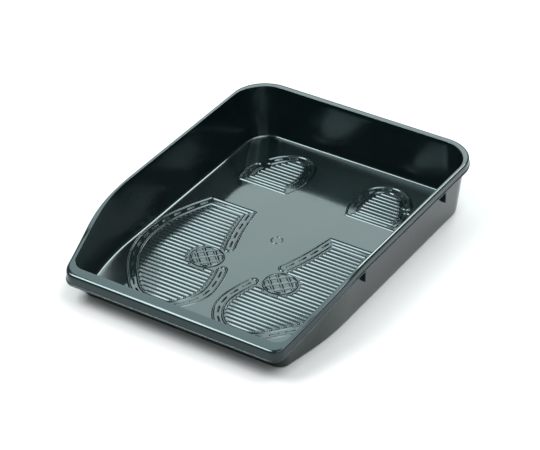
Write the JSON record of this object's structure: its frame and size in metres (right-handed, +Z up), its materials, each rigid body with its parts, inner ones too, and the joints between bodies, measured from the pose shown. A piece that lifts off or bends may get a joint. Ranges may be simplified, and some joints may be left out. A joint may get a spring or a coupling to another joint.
{
  "type": "shoe tray",
  "caption": "Shallow moulded tray with a low front lip, turned-down rim and a raised pair of shoe-sole treads, standing on rubber grip pads.",
  "frame": {"origin": "centre of the rim's plan, on the surface the grip pads stand on", "axes": "+Z up, +Y from the low front lip to the back wall, +X to the tray's right seen from its front"},
  "size_m": [0.27, 0.36, 0.0625],
  "materials": {
    "tray_plastic": "moulded gloss",
    "pad_rubber": "matte"
  },
  "bodies": {
    "root": {"tray_body": "tray_plastic", "grip_pad_front_left": "pad_rubber", "grip_pad_front_right": "pad_rubber", "grip_pad_rear_left": "pad_rubber", "grip_pad_rear_right": "pad_rubber"}
  },
  "joints": []
}
